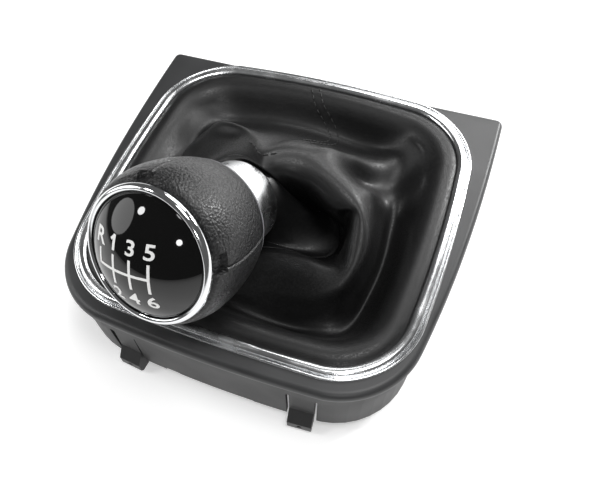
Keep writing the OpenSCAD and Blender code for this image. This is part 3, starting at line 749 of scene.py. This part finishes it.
def stitch_mesh(grid, normals, path, offsets):
    """Stitches beside a seam path of (row, column) pairs; returns points, faces and each point's row."""
    line = np.array([sample_grid(grid, r, c) for r, c in path])
    up = np.array([unit(sample_grid(normals, r, c)) for r, c in path])
    run = np.concatenate([[0], np.cumsum(np.linalg.norm(np.diff(line, axis=0), axis=1))])
    points, faces, rows = [], [], []
    sides = 8
    ring = 2 * np.pi * np.arange(sides) / sides
    ends = np.array([(-0.5, 0.25), (-0.42, 0.8), (-0.2, 1.0), (0.2, 1.0), (0.42, 0.8), (0.5, 0.25)])
    for middle in np.arange(STITCH_GAP, run[-1] - STITCH_GAP / 2, STITCH_GAP):
        def at(values, place):
            return np.array([np.interp(place, run, values[:, k]) for k in range(3)])
        along = unit(at(line, middle + 0.5) - at(line, middle - 0.5))
        lift = unit(at(up, middle))
        across = unit(np.cross(lift, along))
        row = float(np.interp(middle, run, [r for r, _ in path]))
        for offset in offsets:
            centre = at(line, middle) + across * offset + lift * STITCH_LIFT
            base = len(points)
            for place, width in ends:
                for a in ring:
                    points.append(centre + along * place * STITCH
                                  + (across * math.cos(a) + lift * math.sin(a)) * STITCH_R * width)
                    rows.append(row)
            loops = len(ends)
            faces += [tuple(base + i for i in f) for f in grid_faces(loops, sides)]
            faces += [tuple(base + i for i in range(sides)),
                      tuple(base + (loops - 1) * sides + i for i in reversed(range(sides)))]
    return np.array(points), faces, np.array(rows)


def build_gaiter():
    points = gaiter_grid()
    rows = len(points)
    split = rows - len(NECK_ROWS_S) - sum(SPANS[:2])
    normals = grid_normals(points)
    flank_row = len(ROLL) - 1 + sum(SPANS[-2:])
    far_seam = [(r, SEAM_COLUMNS[0] + (SEAM_COLUMNS[1] - SEAM_COLUMNS[0]) * (r - 2) / (flank_row - 2))
                for r in np.arange(2, flank_row + 3, 0.5)]
    hood_row = flank_row + SPANS[-3]
    neck_seam = [(hood_row + 2.5, float(c)) for c in np.arange(-16, 17)]
    parts = (("gaiter_leather", 0, split + 1, "gaiter", ("console", "neck")),
             ("gaiter_neck_leather", split, rows, "gaiter_neck", ("neck", "knob")))
    sheets, stitches = [], []
    for name, first, last, node, bodies in parts:
        outer = points[first:last]
        inner = outer - normals[first:last] * LEATHER_T
        piece = ring_of_loops(name, list(outer) + list(inner[::-1]), MAT["leather"], 180)
        progress = np.linspace(0, 1, last - first)
        progress = np.repeat(np.concatenate([progress, progress[::-1]]), COLS)
        ride_leather(piece)
        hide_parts(node)
        sheets.append(piece)
    for name, path, offsets in (("far_seam_stitches", far_seam, (-SEAM_SIDE, SEAM_SIDE)),
                                ("neck_seam_stitches", neck_seam, (0.0,))):
        co, faces, at_row = stitch_mesh(points, normals, path, offsets)
        piece = make(name, co, faces, MAT["thread"], 60)
        ride_leather(piece)
        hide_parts("gaiter")
        stitches.append(piece)


def ride_leather(piece):
    """Bakes the piece's placement into its points."""
    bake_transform(piece)


# ---- Carried-over CAD nodes ----
NODE_MATERIALS = {
    "ring_washers": "steel", "hem_staples": "steel", "gaiter_clamp_ring": "steel", "lever_clamp": "steel",
    "skirt_frame": "skirt", "base_cover": "skirt", "snap_clips": "clips", "gaiter_retainer": "clips",
    "collar_sleeve": "clips", "knob_core": "clips", "cap_carrier": "clips", "lever_bush": "bush",
    "gaiter": "leather", "gaiter_neck": "leather",
}


def dress_cad_nodes():
    for name, key in NODE_MATERIALS.items():
        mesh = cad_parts[name].data
        mesh.materials.clear()
        mesh.materials.append(MAT[key])
    for name in ("skirt_frame", "snap_clips"):
        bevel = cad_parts[name].modifiers.new("edges", "BEVEL")
        bevel.width = 0.25 * MM
        bevel.segments = 2
        bevel.limit_method = "ANGLE"
        bevel.angle_limit = math.radians(40)


# ---- Stage ----
def add_area(name, place, target, size, power, size_y=None):
    data = bpy.data.lights.new(name, "AREA")
    data.energy = power
    data.shape = "ELLIPSE" if size_y else "DISK"
    data.size = size
    if size_y:
        data.size_y = size_y
    light = bpy.data.objects.new(name, data)
    bpy.context.scene.collection.objects.link(light)
    light.location = Vector(place)
    light.rotation_euler = (Vector(target) - Vector(place)).to_track_quat("-Z", "Y").to_euler()


def build_stage():
    half = 3.0 / MM
    corners = ((-half, -half), (half, -half), (half, half), (-half, half))
    floor = make("floor", [(x, y, FLOOR_Z) for x, y in corners], [(0, 1, 2, 3)])
    material, _, shader = new_material("white_ground", (0.85, 0.85, 0.85), 0.8)
    shader.inputs["Emission Color"].default_value = (1, 1, 1, 1)
    shader.inputs["Emission Strength"].default_value = 0.4
    floor.data.materials.append(material)
    world = bpy.data.worlds.new("studio")
    bpy.context.scene.world = world
    world.use_nodes = True
    sky = world.node_tree.nodes["Background"]
    sky.inputs["Color"].default_value = (1, 1, 1, 1)
    sky.inputs["Strength"].default_value = 0.1
    bpy.context.scene.view_settings.view_transform = "Standard"
    add_area("back", (0.15, 0.95, 0.95), (0, 0, 0), 0.8, 7, 0.5)
    add_area("back_low", (0.3, 1.5, 0.25), (0, 0, 0), 1.4, 5, 0.4)
    add_area("zenith", (0.3, 0.0, 1.2), (0, 0, 0), 0.45, 6)
    add_area("left", (-1.0, -0.25, 0.5), (0, 0, 0.03), 0.7, 3.0)
    add_area("top", (-0.75, -0.25, 1.0), (0, 0, 0), 0.2, 2)
    add_area("front", (0.5, -0.85, 1.05), (0, 0, 0.02), 0.18, 2.5)
    add_area("glint", (0.7, 0.85, 0.48), (0, -0.04, 0.05), 0.25, 8)


add_camera()
build_stage()
build_bezel()
build_chrome_ring()
build_grip()
build_bright_parts()
build_lens()
build_pattern()
build_gaiter()
dress_cad_nodes()
